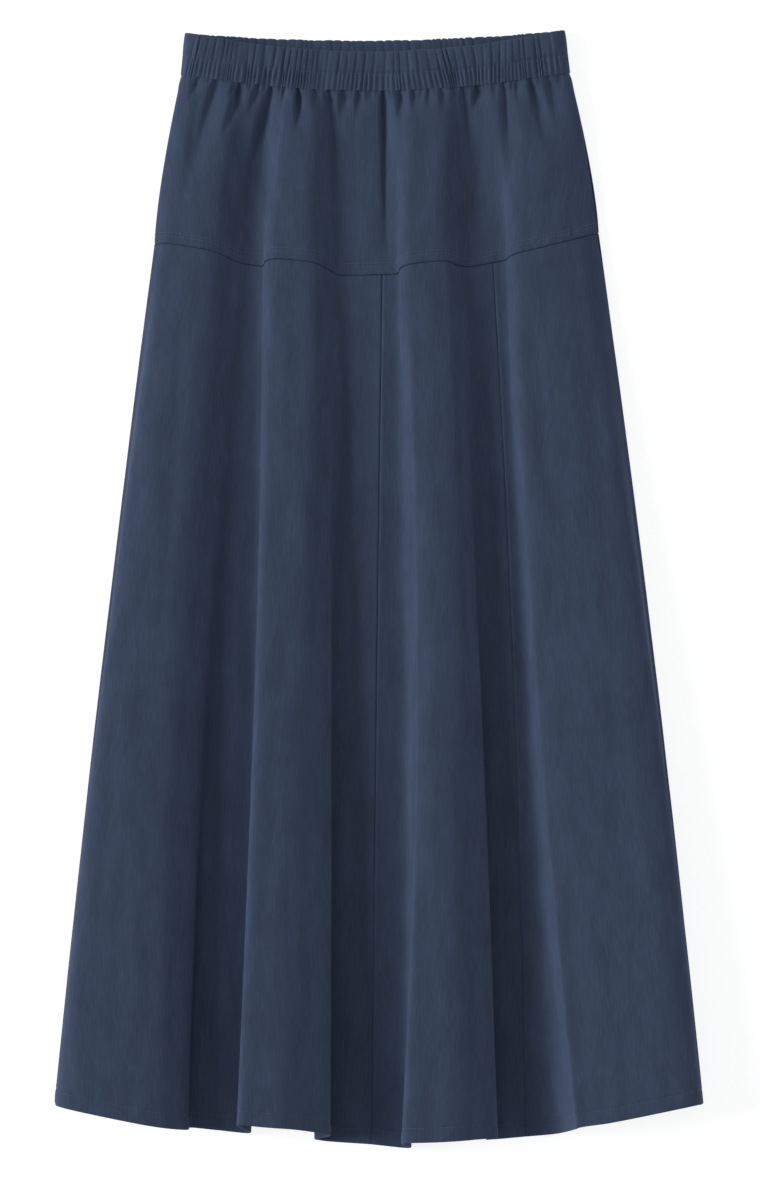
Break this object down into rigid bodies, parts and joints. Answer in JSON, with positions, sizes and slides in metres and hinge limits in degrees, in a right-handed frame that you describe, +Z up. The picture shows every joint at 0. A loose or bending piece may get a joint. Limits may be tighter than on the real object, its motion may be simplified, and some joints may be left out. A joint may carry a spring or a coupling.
{
  "type": "gored maxi skirt",
  "caption": "Long flared skirt lying flat, with a gathered elastic waistband, a hip yoke, gored panels in soft deep folds and a stitched hem.",
  "frame": {"origin": "on the surface that the skirt lies on, below the middle of its bounding box", "axes": "+X to the right of the front as seen from above, +Y towards the waist, +Z up out of the surface"},
  "size_m": [0.551, 0.9486, 0.0417],
  "materials": {
    "cloth": "matte woven"
  },
  "bodies": {
    "root": {"waistband_front": "cloth", "waistband_back": "cloth", "yoke_front_side_left": "cloth", "yoke_front_centre_left": "cloth", "yoke_front_centre_right": "cloth", "yoke_front_side_right": "cloth", "yoke_back": "cloth", "gore_front_side_left_1": "cloth", "gore_front_side_left_2": "cloth", "gore_front_side_left_3": "cloth", "gore_front_side_left_4": "cloth", "gore_front_centre_left_1": "cloth", "gore_front_centre_left_2": "cloth", "gore_front_centre_left_3": "cloth", "gore_front_centre_left_4": "cloth", "gore_front_centre_right_1": "cloth", "gore_front_centre_right_2": "cloth", "gore_front_centre_right_3": "cloth", "gore_front_centre_right_4": "cloth", "gore_front_side_right_1": "cloth", "gore_front_side_right_2": "cloth", "gore_front_side_right_3": "cloth", "gore_front_side_right_4": "cloth", "gore_back_side_left": "cloth", "gore_back_centre_left": "cloth", "gore_back_centre_right": "cloth", "gore_back_side_right": "cloth"}
  },
  "joints": []
}
